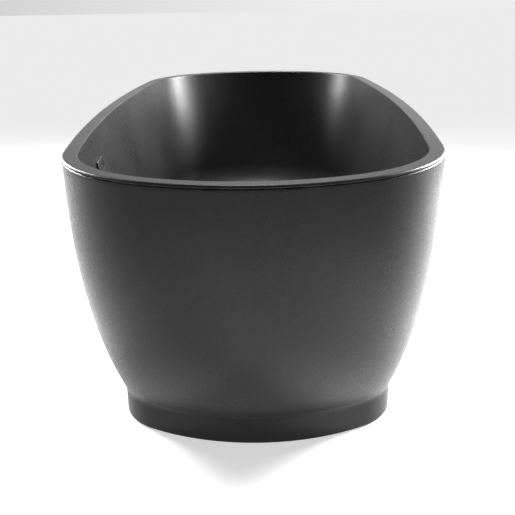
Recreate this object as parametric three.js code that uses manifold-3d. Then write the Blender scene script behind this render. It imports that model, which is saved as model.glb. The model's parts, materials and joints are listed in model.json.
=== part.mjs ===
// A freestanding double-wall bathtub, 1700 x 800 x 580 mm.
// An inner basin hangs by its flat rim on an outer skirt. Under its floor lie a board, a steel frame
// and five levelling feet, and the click-clack waste, trap and overflow that drain it.
// Millimetres, +Z up. The origin is on the floor under the middle. +X points to the foot end.
import * as THREE from "three";
import { mergeVertices } from "three/addons/utils/BufferGeometryUtils.js";
import Module from "manifold-3d";

const wasm = await Module();
wasm.setup();

// ---- driving dimensions -------------------------------------------------------------------------
const LENGTH = 1700;
const WIDTH = 800;
const HEIGHT = 580;
const RIM_OVAL = { length: LENGTH, width: WIDTH, end: 467, corner: 300, side: 5020 };
const RIM_WIDTH = 30;
const RIM_THICKNESS = 5;
const RIM_OUTER_ROUND = 4;
const RIM_INNER_ROUND = 3;

const PLINTH_OVAL = { length: 1400, width: 660, end: 468, corner: 126, side: 3678 };
const PLINTH_HEIGHT = 62;
const SKIRT_THICKNESS = 5;
const SKIRT_BULGE = 2.51; // power by which the skirt draws in from the rim to the plinth
const SKIRT_FLOOR_GAP = 2;
const SEAM = 1.6; // open joint between rim and skirt, with the bonding bead inside it
const BEAD_INSETS = [5, 17];
const GAP = 0.3; // clearance between touching pieces
const PAST = 5; // how far a cut runs past the face it opens

const FLOOR_TOP = 150;
const FLOOR_THICKNESS = 8;
const WALL_THICKNESS = 6;
const WALL_FOOT_OVAL = { length: 1380, width: 616, end: 360, corner: 230, side: 3900 };
const FLOOR_FILLET = 100;
const END_SLOPE = 1.3; // power by which each end of the basin draws in
const SIDE_SLOPE = 1.15; // the same for its sides

const BOARD = { length: 1160, width: 400, thickness: 12, corner: 60, wasteHole: 50 };
const TUBE = 25;
const TUBE_WALL = 2;
const RAIL_LENGTH = 1120;
const RAIL_Y = 165;
const CROSS_LENGTH = 560;
const CROSS_X = [-450, 0, 500];
const FOOT_SPREAD = 220;

const STUD_R = 6;
const STUD_TOP = 122;
const PAD_R = 27;
const PAD_HEIGHT = 22;

const WASTE_X = 360;
const WASTE_FLANGE_R = 35;
const WASTE_TUBE_R = 20;
const WASTE_BORE_R = 17.5;
const RECESS_DEPTH = 4.3; // the floor is sunk this far round the waste, for its flange and seal
const OVERFLOW_X = 360;
const OVERFLOW_DROP = 78;
const OVERFLOW_PLATE = { width: 70, height: 32, depth: 5, corner: 5 };
const OVERFLOW_SLOT_INSET = 8; // the hole through the wall is this much smaller all round

// Heights that follow from the stack of pieces under the basin.
const BOARD_TOP = FLOOR_TOP - FLOOR_THICKNESS - GAP;
const RAIL_TOP = BOARD_TOP - BOARD.thickness - GAP;
const CROSS_TOP = RAIL_TOP - TUBE - GAP;
const CROSS_BOTTOM = CROSS_TOP - TUBE;

// ---- materials ----------------------------------------------------------------------------------
const material = (color, roughness, metalness = 0) =>
  new THREE.MeshStandardMaterial({ color, roughness, metalness });
const MATT_BLACK = material(0x2b2b2c, 0.42);
const BLACK_METAL = material(0x17171a, 0.3, 0.6);
const ZINC = material(0xa9adb1, 0.35, 1);
const BLACK_PAINT = material(0x1d1e20, 0.5, 0.2);
const PLYWOOD = material(0xb58d5d, 0.8);
const RUBBER = material(0x141414, 0.9);
const WHITE_PLASTIC = material(0xe2e2de, 0.5);
const GREY_PLASTIC = material(0x6f7377, 0.6);
const SEALANT = material(0x3a3a3a, 0.7);

// ---- solids -------------------------------------------------------------------------------------
const QUARTER = Math.PI / 2;

function toSolid(geometry) {
  const bare = new THREE.BufferGeometry().setAttribute("position", geometry.getAttribute("position"));
  bare.setIndex(geometry.index);
  const merged = mergeVertices(bare, 1e-4);
  const triVerts = new Uint32Array(merged.index.array);
  const vertProperties = merged.attributes.position.array;
  const solid = new wasm.Manifold(new wasm.Mesh({ numProp: 3, vertProperties, triVerts }));
  if (solid.volume() >= 0) return solid;
  for (let i = 0; i < triVerts.length; i += 3) {
    [triVerts[i + 1], triVerts[i + 2]] = [triVerts[i + 2], triVerts[i + 1]];
  }
  return new wasm.Manifold(new wasm.Mesh({ numProp: 3, vertProperties, triVerts }));
}

function toGeometry(solid) {
  const mesh = solid.getMesh();
  const geometry = new THREE.BufferGeometry();
  geometry.setAttribute("position", new THREE.BufferAttribute(mesh.vertProperties, 3));
  geometry.setIndex(new THREE.BufferAttribute(mesh.triVerts, 1));
  geometry.computeVertexNormals();
  return geometry;
}

const outward = (geometry) => toGeometry(toSolid(geometry));
const cut = (body, ...tools) =>
  toGeometry(tools.reduce((left, tool) => left.subtract(toSolid(tool)), toSolid(body)));
const join = (...pieces) => toGeometry(pieces.map(toSolid).reduce((sum, piece) => sum.add(piece)));

// A cylinder along +Z from low to high; six sides make a hexagon.
function rod(radius, low, high, sides = 16, x = 0, y = 0) {
  const geometry = new THREE.CylinderGeometry(radius, radius, high - low, sides);
  return geometry.rotateX(QUARTER).translate(x, y, (low + high) / 2);
}

// A solid of revolution about +Z from [radius, z] points.
function turned(profile, sides = 24) {
  const points = profile.map(([radius, z]) => new THREE.Vector2(radius, z));
  return new THREE.LatheGeometry([...points, points[0]], sides).rotateX(QUARTER);
}

const ring = (inner, outer, low, high, sides = 24) =>
  outward(turned([[inner, low], [outer, low], [outer, high], [inner, high]], sides));

function box(width, depth, low, high, x = 0, y = 0) {
  return new THREE.BoxGeometry(width, depth, high - low).translate(x, y, (low + high) / 2);
}

function roundedRectangle(width, height, radius) {
  const [x, y] = [width / 2 - radius, height / 2 - radius];
  const shape = new THREE.Shape();
  shape.absarc(x, y, radius, 0, QUARTER);
  shape.absarc(-x, y, radius, QUARTER, 2 * QUARTER);
  shape.absarc(-x, -y, radius, 2 * QUARTER, 3 * QUARTER);
  shape.absarc(x, -y, radius, 3 * QUARTER, 4 * QUARTER);
  return shape.closePath();
}

const plate = (shape, depth, curveSegments = 4) =>
  new THREE.ExtrudeGeometry(shape, { depth, bevelEnabled: false, curveSegments });

// ---- ovals in plan ------------------------------------------------------------------------------
const END_STEPS = 6;
const CORNER_STEPS = 3;
const SIDE_STEPS = 4;

// The oval's outline as points with their outward normals. A quadrant is three tangent arcs:
// the end, a tighter corner and a long, nearly straight side.
function oval({ length, width, end, corner, side }) {
  const endCentre = new THREE.Vector2(length / 2 - end, 0);
  const sideCentre = new THREE.Vector2(0, width / 2 - side);
  const toSide = sideCentre.clone().sub(endCentre);
  const span = toSide.length();
  const along = ((end - corner) ** 2 - (side - corner) ** 2 + span ** 2) / (2 * span);
  const across = Math.sqrt((end - corner) ** 2 - along ** 2);
  toSide.normalize();
  const cornerCentre = endCentre.clone().addScaledVector(toSide, along);
  cornerCentre.addScaledVector(new THREE.Vector2(-toSide.y, toSide.x), across);
  const endAngle = cornerCentre.clone().sub(endCentre).angle();
  const sideAngle = cornerCentre.clone().sub(sideCentre).angle();
  const arc = (centre, radius, from, to, steps) =>
    Array.from({ length: steps }, (_, i) => {
      const angle = from + ((to - from) * i) / steps;
      const normal = new THREE.Vector2(Math.cos(angle), Math.sin(angle));
      return { point: centre.clone().addScaledVector(normal, radius), normal };
    });
  const quadrant = [
    ...arc(endCentre, end, 0, endAngle, END_STEPS),
    ...arc(cornerCentre, corner, endAngle, sideAngle, CORNER_STEPS),
    ...arc(sideCentre, side, sideAngle, QUARTER, SIDE_STEPS),
    ...arc(sideCentre, side, QUARTER, QUARTER, 1),
  ];
  const flip = (part, x, y) =>
    part.map(({ point, normal }) => ({
      point: new THREE.Vector2(point.x * x, point.y * y),
      normal: new THREE.Vector2(normal.x * x, normal.y * y),
    }));
  const backwards = [...quadrant].reverse();
  return [
    ...quadrant.slice(0, -1),
    ...flip(backwards, -1, 1).slice(0, -1),
    ...flip(quadrant, -1, -1).slice(0, -1),
    ...flip(backwards, 1, -1).slice(0, -1),
  ];
}

const grown = (outline, distance) =>
  outline.map(({ point, normal }) => ({ point: point.clone().addScaledVector(normal, distance), normal }));

const mixed = (from, to, alongX, alongY) =>
  from.map(({ point, normal }, i) => ({
    point: new THREE.Vector2(
      THREE.MathUtils.lerp(point.x, to[i].point.x, alongX),
      THREE.MathUtils.lerp(point.y, to[i].point.y, alongY),
    ),
    normal: normal.clone().lerp(to[i].normal, (alongX + alongY) / 2).normalize(),
  }));

const atHeight = (outline, z) => outline.map(({ point }) => new THREE.Vector3(point.x, point.y, z));

// A closed surface through a list of rings. Without caps, the last ring joins the first.
function loft(rings, { caps = false } = {}) {
  const count = rings[0].length;
  const positions = rings.flat().flatMap((p) => [p.x, p.y, p.z]);
  const triangles = [];
  const bands = caps ? rings.length - 1 : rings.length;
  for (let r = 0; r < bands; r++) {
    const above = ((r + 1) % rings.length) * count;
    for (let i = 0; i < count; i++) {
      const j = (i + 1) % count;
      triangles.push(r * count + i, r * count + j, above + i);
      triangles.push(r * count + j, above + j, above + i);
    }
  }
  if (caps) {
    for (const [first, flip] of [[0, true], [(rings.length - 1) * count, false]]) {
      positions.push(0, 0, positions[first * 3 + 2]);
      const hub = positions.length / 3 - 1;
      for (let i = 0; i < count; i++) {
        const j = (i + 1) % count;
        triangles.push(hub, first + (flip ? j : i), first + (flip ? i : j));
      }
    }
  }
  const geometry = new THREE.BufferGeometry();
  geometry.setAttribute("position", new THREE.Float32BufferAttribute(positions, 3));
  geometry.setIndex(triangles);
  return outward(geometry);
}

const rimOutline = oval(RIM_OVAL);
const plinthOutline = oval(PLINTH_OVAL);
const basinTopOutline = grown(rimOutline, -RIM_WIDTH);
const wallFootOutline = oval(WALL_FOOT_OVAL);

// The skirt's outer outline at a height: it draws in towards the plinth, which stands straight.
function skirtOutline(z) {
  const down = Math.min(1, (HEIGHT - z) / (HEIGHT - PLINTH_HEIGHT));
  const inwards = down ** SKIRT_BULGE;
  return mixed(rimOutline, plinthOutline, inwards, inwards);
}

// The basin's inner outline at a height, down to where the fillet to the floor starts.
function wallOutline(z) {
  const down = (HEIGHT - z) / (HEIGHT - FLOOR_TOP);
  return mixed(basinTopOutline, wallFootOutline, down ** END_SLOPE, down ** SIDE_SLOPE);
}

// ---- the two shells -----------------------------------------------------------------------------
const cos45 = Math.SQRT1_2;
const FILLET_TOP = FLOOR_TOP + FLOOR_FILLET;
const INNER_WALL_HEIGHTS = [FILLET_TOP, 300, 350, 400, 450, 500, 540];
const OUTER_WALL_HEIGHTS = [500, 400, 300, FILLET_TOP];
const INNER_FILLET_ANGLES = [90, 72, 54, 36, 18];
const OUTER_FILLET_ANGLES = [22, 45, 68, 90];

const inRim = (inset, z) => atHeight(grown(rimOutline, -inset), z);

function filletRings(angles, thickness) {
  return angles.map((degrees) => {
    const angle = THREE.MathUtils.degToRad(degrees);
    const radius = FLOOR_FILLET + thickness;
    const inwards = FLOOR_FILLET - radius * Math.cos(angle);
    const z = FILLET_TOP - radius * Math.sin(angle);
    return atHeight(grown(wallOutline(Math.max(z, FLOOR_TOP)), -inwards), z);
  });
}

// The rim's section: both top edges rounded, then down the outer edge and in underneath.
function rimRings() {
  const outerRound = RIM_OUTER_ROUND * (1 - cos45);
  const innerRound = RIM_INNER_ROUND * (1 - cos45);
  return [
    inRim(RIM_WIDTH, HEIGHT - RIM_INNER_ROUND),
    inRim(RIM_WIDTH - innerRound, HEIGHT - innerRound),
    inRim(RIM_WIDTH - RIM_INNER_ROUND, HEIGHT),
    inRim(RIM_OUTER_ROUND, HEIGHT),
    inRim(outerRound, HEIGHT - outerRound),
    inRim(0, HEIGHT - RIM_OUTER_ROUND),
    inRim(0, HEIGHT - RIM_THICKNESS),
    inRim(RIM_WIDTH - WALL_THICKNESS, HEIGHT - RIM_THICKNESS),
  ];
}

function basin() {
  const shell = loft([
    ...filletRings(INNER_FILLET_ANGLES, 0),
    ...INNER_WALL_HEIGHTS.map((z) => atHeight(wallOutline(z), z)),
    ...rimRings(),
    ...OUTER_WALL_HEIGHTS.map((z) => atHeight(grown(wallOutline(z), WALL_THICKNESS), z)),
    ...filletRings(OUTER_FILLET_ANGLES, FLOOR_THICKNESS),
  ], { caps: true });
  const above = FLOOR_TOP + PAST;
  const wasteRecess = rod(WASTE_FLANGE_R + 1, FLOOR_TOP - RECESS_DEPTH, above, 32, WASTE_X);
  const wasteHole = rod(WASTE_TUBE_R + 3, FLOOR_TOP - 4 * PAST, above, 24, WASTE_X);
  const slot = plate(overflowOutline(OVERFLOW_SLOT_INSET), 60).translate(0, 0, -30);
  return cut(shell, wasteRecess, wasteHole, slot.applyMatrix4(overflowFrame.matrix));
}

const SKIRT_TOP = HEIGHT - RIM_THICKNESS - SEAM;
const SKIRT_TOP_ROUND = 2;
const SKIRT_LEDGE = RIM_WIDTH - WALL_THICKNESS - 3; // how far the skirt's top flange reaches in
const SKIRT_HEIGHTS = [540, 500, 450, 400, 350, 300, 250, 200, 150, 110, 85];
const SKIRT_INNER_HEIGHTS = [PLINTH_HEIGHT, 110, 200, 300, 400, 500];
const CREASE_HALF_HEIGHT = 10; // half the height over which the skirt turns into the plinth

function skirt() {
  const outer = (z, inset = 0) => atHeight(grown(skirtOutline(z), -inset), z);
  return loft([
    outer(SKIRT_TOP, SKIRT_TOP_ROUND),
    outer(SKIRT_TOP - SKIRT_TOP_ROUND),
    ...SKIRT_HEIGHTS.map((z) => outer(z)),
    outer(PLINTH_HEIGHT + CREASE_HALF_HEIGHT),
    outer(PLINTH_HEIGHT, -1),
    outer(PLINTH_HEIGHT - CREASE_HALF_HEIGHT),
    outer(SKIRT_FLOOR_GAP),
    outer(SKIRT_FLOOR_GAP, SKIRT_THICKNESS),
    ...SKIRT_INNER_HEIGHTS.map((z) => outer(z, SKIRT_THICKNESS)),
    outer(SKIRT_TOP - SKIRT_THICKNESS, SKIRT_THICKNESS),
    outer(SKIRT_TOP - SKIRT_THICKNESS, SKIRT_LEDGE),
    outer(SKIRT_TOP, SKIRT_LEDGE),
  ]);
}

function rimBead() {
  const low = SKIRT_TOP + GAP;
  const high = HEIGHT - RIM_THICKNESS - GAP;
  const [outer, inner] = BEAD_INSETS;
  return loft([inRim(outer, low), inRim(outer, high), inRim(inner, high), inRim(inner, low)]);
}

// ---- board, frame and feet ----------------------------------------------------------------------
const SCREW_R = 3;
const SCREW_TOP = BOARD_TOP - 3;
const SCREW_HEAD_R = 7.5;
const HEAD_HEIGHT = 5;
const STUD_HOLE_R = STUD_R + 0.6;
const NUT_R = 11;
const NUT_HEIGHT = 10;
const BRACKET = { start: 236, thickness: 2.5, width: 36, lowest: 14 };
const PAD_BORE_R = STUD_R + 0.5;
const PAD_SOLE = 6; // rubber left under the stud

const feet = [
  ...[CROSS_X[0], CROSS_X[2]].flatMap((x) => [-FOOT_SPREAD, FOOT_SPREAD].map((y) => ({ x, y }))),
  { x: CROSS_X[1], y: 0 },
];
const joints = CROSS_X.flatMap((x) => [-RAIL_Y, RAIL_Y].map((y) => ({ x, y })));

const screwHoles = () =>
  joints.map(({ x, y }) => rod(SCREW_R + GAP, CROSS_BOTTOM - PAST, SCREW_TOP + GAP, 8, x, y));

function baseBoard() {
  const panel = plate(roundedRectangle(BOARD.length, BOARD.width, BOARD.corner), BOARD.thickness);
  panel.translate(0, 0, BOARD_TOP - BOARD.thickness);
  const wasteHole = rod(BOARD.wasteHole, BOARD_TOP - BOARD.thickness - PAST, BOARD_TOP + PAST, 24, WASTE_X);
  return cut(panel, wasteHole, ...screwHoles());
}

// A square steel tube along +X, centred, with its top at the given height.
function tube(length, top) {
  const section = new THREE.Shape();
  const hole = new THREE.Path();
  for (const [path, half] of [[section, TUBE / 2], [hole, TUBE / 2 - TUBE_WALL]]) {
    path.moveTo(-half, -half).lineTo(half, -half).lineTo(half, half).lineTo(-half, half).closePath();
  }
  section.holes.push(hole);
  const geometry = plate(section, length).translate(0, 0, -length / 2);
  return geometry.rotateY(QUARTER).translate(0, 0, top - TUBE / 2);
}

const rail = (y) => cut(tube(RAIL_LENGTH, RAIL_TOP).translate(0, y, 0), ...screwHoles());

function crossMember(x) {
  const bar = tube(CROSS_LENGTH, CROSS_TOP).rotateZ(QUARTER).translate(x, 0, 0);
  const studHoles = feet
    .filter((foot) => foot.x === x)
    .map((foot) => rod(STUD_HOLE_R, CROSS_BOTTOM - PAST, CROSS_TOP + PAST, 12, foot.x, foot.y));
  return cut(bar, ...studHoles, ...screwHoles());
}

// A steel strip bent down from the end of a cross member to the inside of the plinth.
function skirtBracket(x, side) {
  const { start, thickness, width, lowest } = BRACKET;
  const top = CROSS_BOTTOM - GAP;
  const inside = grown(skirtOutline(0), -SKIRT_THICKNESS).map(({ point }) => point);
  const reach = [-width / 2, width / 2].map((edge) => Math.abs(crossing(inside, x + edge, side)));
  const wall = Math.min(...reach) - GAP;
  const strip = new THREE.Shape();
  strip.moveTo(start, top).lineTo(wall, top).lineTo(wall, lowest);
  strip.lineTo(wall - thickness, lowest).lineTo(wall - thickness, top - thickness);
  strip.lineTo(start, top - thickness).closePath();
  const bent = plate(strip, width).translate(0, 0, -width / 2).rotateX(QUARTER).rotateZ(QUARTER * side);
  return outward(bent.translate(x, 0, 0));
}

// Where an outline crosses the line at x, on the +Y or -Y side.
function crossing(outline, x, side) {
  for (let i = 0; i < outline.length; i++) {
    const [a, b] = [outline[i], outline[(i + 1) % outline.length]];
    if (Math.sign(a.y + b.y) === side && (a.x - x) * (b.x - x) <= 0 && a.x !== b.x) {
      return a.y + ((b.y - a.y) * (x - a.x)) / (b.x - a.x);
    }
  }
  throw new Error("the outline doesn't reach x = " + x);
}

// The pad's foot spreads from a collar round the stud.
function footPad() {
  return outward(
    turned([
      [0, 0], [PAD_R, 0], [PAD_R, 5], [PAD_R - 6, 9], [2 * STUD_R, 11], [2 * STUD_R, PAD_HEIGHT],
      [PAD_BORE_R, PAD_HEIGHT], [PAD_BORE_R, PAD_SOLE], [0, PAD_SOLE],
    ], 16),
  );
}

const footStud = () => rod(STUD_R, PAD_SOLE + GAP, STUD_TOP, 12);

function lockNut() {
  const top = CROSS_BOTTOM - GAP;
  return cut(rod(NUT_R, top - NUT_HEIGHT, top, 6), rod(STUD_HOLE_R, 0, HEIGHT, 12));
}

function frameScrew() {
  const head = rod(SCREW_HEAD_R, CROSS_BOTTOM - HEAD_HEIGHT, CROSS_BOTTOM - GAP, 6);
  return join(head, rod(SCREW_R, CROSS_BOTTOM - HEAD_HEIGHT / 2, SCREW_TOP, 8));
}

// ---- click-clack waste and trap, about the waste's own axis --------------------------------------
const FLANGE_UNDERSIDE = FLOOR_TOP - 2.7;
const FLANGE_EDGE = FLOOR_TOP - 0.8;
const FLANGE_CONE = 7.5; // the bore opens by this much at the top, at 45 degrees
const SPIDER = { low: FLOOR_TOP - 30, high: FLOOR_TOP - 25, bar: 3, hub: 7, bore: 4.4 };
const SOCKET_R = WASTE_TUBE_R + 0.6;
const BACK_NUT_R = 38;
const TRAP_NUT_R = 31;
const TRAP_NUT_HEIGHT = 14;
const TUBE_END = 100;
const TRAP_TOP = 111;
const CUP_R = 28;
const CUP_BOTTOM = 40;
const PIPE_WALL = 3;
const OUTLET_Z = 78;
const OUTLET_R = 20;
const INLET_Z = 88;
const INLET_COLLAR_R = 12;
const BARB_R = 8;
const BARB_WALL = 2;
const OUTLET_ROUTE = { start: -51, turn: -130, radius: 34, low: 12 };

function wasteFlange() {
  const body = turned([
    [WASTE_BORE_R, TUBE_END], [WASTE_TUBE_R, TUBE_END], [WASTE_TUBE_R, FLOOR_TOP - 5],
    [WASTE_TUBE_R + 2, FLANGE_UNDERSIDE], [WASTE_FLANGE_R, FLANGE_UNDERSIDE], [WASTE_FLANGE_R, FLANGE_EDGE],
    [WASTE_FLANGE_R - 1, FLOOR_TOP], [WASTE_BORE_R + FLANGE_CONE, FLOOR_TOP],
    [WASTE_BORE_R, FLOOR_TOP - FLANGE_CONE],
  ], 28);
  const { low, high, bar, hub, bore } = SPIDER;
  const across = 2 * WASTE_BORE_R + 1;
  const spider = join(
    body,
    box(across, bar, low, high),
    box(bar, across, low + 1, high - 1),
    rod(hub, low - 2, high + 2, 16),
  );
  return cut(spider, rod(bore, 0, HEIGHT, 12));
}

const wasteSealTop = () => ring(WASTE_TUBE_R + 3.5, WASTE_FLANGE_R, FLOOR_TOP - 4, FLOOR_TOP - 3, 32);
const wasteSealBottom = () => ring(SOCKET_R + 1, BACK_NUT_R, FLOOR_TOP - 11.5, FLOOR_TOP - 8.3);

// A faceted nut round the waste's tube.
const nutRound = (radius, low, high, sides) =>
  cut(rod(radius, low, high, sides), rod(SOCKET_R, 0, HEIGHT, 24));
const backNut = () => nutRound(BACK_NUT_R, FLOOR_TOP - 20, FLOOR_TOP - 11.8, 8);
const trapNut = () => nutRound(TRAP_NUT_R, TRAP_TOP + GAP, TRAP_TOP + TRAP_NUT_HEIGHT, 10);

function trapBody() {
  const towardsHead = (radius, length) =>
    rod(radius, 0, length, 20).rotateY(-QUARTER).translate(0, 0, OUTLET_Z);
  const towardsSide = (radius, length) =>
    rod(radius, 0, length, 14).rotateX(QUARTER).translate(0, 0, INLET_Z);
  const outside = join(
    rod(CUP_R, CUP_BOTTOM, TRAP_TOP, 20),
    towardsHead(OUTLET_R, 50),
    towardsSide(BARB_R, 66),
    towardsSide(INLET_COLLAR_R, 50),
  );
  return cut(
    outside,
    rod(CUP_R - PIPE_WALL, CUP_BOTTOM - PAST, TUBE_END - GAP, 20),
    rod(SOCKET_R, TUBE_END - PAST, TRAP_TOP + PAST, 24),
    towardsHead(OUTLET_R - PIPE_WALL, 60),
    towardsSide(BARB_R - BARB_WALL, 80),
  );
}

function trapCap() {
  const lid = rod(CUP_R + 3, CUP_BOTTOM - 12, CUP_BOTTOM - GAP, 10);
  return join(lid, rod(CUP_R - PIPE_WALL - GAP, CUP_BOTTOM - 6, CUP_BOTTOM + 8, 20));
}

// A pipe's section: a circle with a round hole.
function pipeSection(outer, inner) {
  const section = new THREE.Shape().absarc(0, 0, outer, 0, 4 * QUARTER);
  section.holes.push(new THREE.Path().absarc(0, 0, inner, 0, 4 * QUARTER));
  return section;
}

// The outlet's bend: a horizontal spigot from the trap that turns down to the floor drain.
function outletBend() {
  const { start, turn, radius, low } = OUTLET_ROUTE;
  const at = (x, z) => new THREE.Vector3(x, 0, z);
  const bendStart = at(turn + radius, OUTLET_Z);
  const corner = at(turn, OUTLET_Z);
  const bendEnd = at(turn, OUTLET_Z - radius);
  const route = new THREE.CurvePath();
  route.add(new THREE.LineCurve3(at(start, OUTLET_Z), bendStart));
  route.add(new THREE.QuadraticBezierCurve3(bendStart, corner, bendEnd));
  route.add(new THREE.LineCurve3(bendEnd, at(turn, low)));
  const section = pipeSection(OUTLET_R, OUTLET_R - PIPE_WALL);
  return outward(new THREE.ExtrudeGeometry(section, { extrudePath: route, steps: 14, curveSegments: 8 }));
}

function outletNut() {
  const nut = cut(rod(27, 40, 62, 10), rod(OUTLET_R + 2 * GAP, 0, HEIGHT, 20));
  return nut.rotateY(-QUARTER).translate(0, 0, OUTLET_Z);
}

// ---- the click-clack plug ------------------------------------------------------------------------
const PLUG_R = 31;
const PLUG_LOW = FLOOR_TOP + GAP;
const PLUG_SEAL = { inner: 6, lower: 19, outer: 22.5, depth: 4.5 };
const PLUG_STEM_R = 4;
const PLUG_STEM_LOW = FLOOR_TOP - 44;

function plugCap() {
  return outward(
    turned([
      [0, PLUG_LOW], [PLUG_R, PLUG_LOW], [PLUG_R, PLUG_LOW + 2], [PLUG_R - 1.5, PLUG_LOW + 3.4],
      [PLUG_R * 0.6, PLUG_LOW + 4.4], [0, PLUG_LOW + 4.8],
    ], 32),
  );
}

function plugSeal() {
  const { inner, lower, outer, depth } = PLUG_SEAL;
  const bottom = PLUG_LOW - depth;
  return outward(
    turned([
      [inner, bottom], [lower, bottom], [outer, PLUG_LOW - 1], [outer, PLUG_LOW - GAP],
      [inner, PLUG_LOW - GAP],
    ]),
  );
}

const plugStem = () => rod(PLUG_STEM_R, PLUG_STEM_LOW, PLUG_LOW - GAP, 12);

// ---- the overflow, in a frame on the basin's wall ------------------------------------------------
// Its x runs along the wall, its y up the wall and its z out into the basin.
const overflowFrame = new THREE.Group();
{
  const z = HEIGHT - OVERFLOW_DROP;
  const wallAt = (x, height) => {
    const outline = wallOutline(height).map(({ point }) => point);
    return new THREE.Vector3(x, crossing(outline, x, -1), height);
  };
  const reach = OVERFLOW_PLATE.height / 2;
  const upWall = wallAt(OVERFLOW_X, z + reach).sub(wallAt(OVERFLOW_X, z - reach));
  const alongWall = wallAt(OVERFLOW_X - reach, z).sub(wallAt(OVERFLOW_X + reach, z)).normalize();
  const inwards = new THREE.Vector3().crossVectors(alongWall, upWall).normalize();
  const up = new THREE.Vector3().crossVectors(inwards, alongWall);
  overflowFrame.quaternion.setFromRotationMatrix(new THREE.Matrix4().makeBasis(alongWall, up, inwards));
  overflowFrame.position.copy(wallAt(OVERFLOW_X, z));
  overflowFrame.updateMatrix();
}

const COVER_WALL = 2;
const COVER_STANDOFF = 0.5; // the wall curves, so the cover's edge stands this far off its middle
const HOUSING_BACK = -27;
const HOUSING_BODY = 14;
const FLANGE_THICKNESS = 6;
const SEAL_THICKNESS = 1.4;
const PIPE_R = 11;
const SPIGOT_Z = HOUSING_BACK + 8.5;

// The overflow plate's outline, drawn in by an inset all round.
function overflowOutline(inset = 0) {
  const { width, height, corner } = OVERFLOW_PLATE;
  return roundedRectangle(width - 2 * inset, height - 2 * inset, Math.max(3, corner - inset));
}

// The cover is a shallow box, open along its lower edge where the water goes in.
function overflowCover() {
  const { width, height, depth } = OVERFLOW_PLATE;
  const inside = depth - COVER_WALL;
  const front = plate(overflowOutline(), depth - COVER_STANDOFF).translate(0, 0, COVER_STANDOFF);
  const hollow = plate(overflowOutline(3), inside + 1).translate(0, 0, -1);
  const intake = new THREE.BoxGeometry(width - 14, 10, inside + 1);
  intake.translate(0, -height / 2, (inside - 1) / 2);
  return cut(front, hollow, intake);
}

function overflowHousing() {
  const { width, height } = OVERFLOW_PLATE;
  const flangeLow = -WALL_THICKNESS - 2 - FLANGE_THICKNESS;
  const upright = (radius, length, y) =>
    new THREE.CylinderGeometry(radius, radius, length, 14).translate(0, y, SPIGOT_Z);
  const outside = join(
    plate(overflowOutline(), FLANGE_THICKNESS).translate(0, 0, flangeLow),
    plate(overflowOutline(OVERFLOW_SLOT_INSET + GAP), HOUSING_BODY).translate(0, 0, -HOUSING_BODY),
    plate(roundedRectangle(width - 14, height - 4, 5), HOUSING_BODY).translate(0, 0, HOUSING_BACK),
    upright(BARB_R, 34, -27),
  );
  const throat = plate(overflowOutline(OVERFLOW_SLOT_INSET + 3), 30).translate(0, 0, HOUSING_BACK + 3);
  return cut(outside, throat, upright(BARB_R - BARB_WALL, 60, -32));
}

function overflowSeal() {
  const outline = overflowOutline();
  outline.holes.push(overflowOutline(OVERFLOW_SLOT_INSET - 1));
  return plate(outline, SEAL_THICKNESS).translate(0, 0, -WALL_THICKNESS - GAP - SEAL_THICKNESS);
}

// The overflow's rigid plastic pipe runs down between the shells and under the frame to the trap.
function overflowPipe() {
  const below = (drop) => new THREE.Vector3(0, -drop, SPIGOT_Z).applyMatrix4(overflowFrame.matrix);
  const besideTrap = (distance) => new THREE.Vector3(WASTE_X, -distance, INLET_Z);
  const { x, y } = below(62);
  const inFrom = (distance, z) => new THREE.Vector3(x, y + distance, z);
  const route = new THREE.CatmullRomCurve3([
    below(30), below(46), below(62),
    inFrom(20, 260), inFrom(42, 170), inFrom(66, 112), inFrom(110, INLET_Z),
    besideTrap(84), besideTrap(68), besideTrap(52),
  ], false, "centripetal");
  const section = pipeSection(PIPE_R, BARB_R + 2 * GAP);
  return outward(new THREE.ExtrudeGeometry(section, { extrudePath: route, steps: 30, curveSegments: 6 }));
}

// ---- assembly ------------------------------------------------------------------------------------
const bathtub = new THREE.Group();

function add(name, geometry, look, parent = bathtub, x = 0, y = 0) {
  const mesh = new THREE.Mesh(geometry, look);
  mesh.name = name;
  mesh.position.set(x, y, 0);
  parent.add(mesh);
  return mesh;
}

add("basin", basin(), MATT_BLACK);
add("outer_skirt", skirt(), MATT_BLACK);
add("rim_bonding_bead", rimBead(), SEALANT);

add("base_board", baseBoard(), PLYWOOD);
add("frame_rail_left", rail(RAIL_Y), BLACK_PAINT);
add("frame_rail_right", rail(-RAIL_Y), BLACK_PAINT);
["head", "middle", "foot"].forEach((end, i) => {
  add("cross_member_" + end, crossMember(CROSS_X[i]), BLACK_PAINT);
});
for (const [end, x] of [["head", CROSS_X[0]], ["foot", CROSS_X[2]]]) {
  add(`skirt_bracket_${end}_left`, skirtBracket(x, 1), ZINC);
  add(`skirt_bracket_${end}_right`, skirtBracket(x, -1), ZINC);
}
joints.forEach(({ x, y }, i) => add("frame_screw_" + (i + 1), frameScrew(), ZINC, bathtub, x, y));
feet.forEach(({ x, y }, i) => {
  add("foot_pad_" + (i + 1), footPad(), RUBBER, bathtub, x, y);
  add("foot_stud_" + (i + 1), footStud(), ZINC, bathtub, x, y);
  add("foot_lock_nut_" + (i + 1), lockNut(), ZINC, bathtub, x, y);
});

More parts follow.
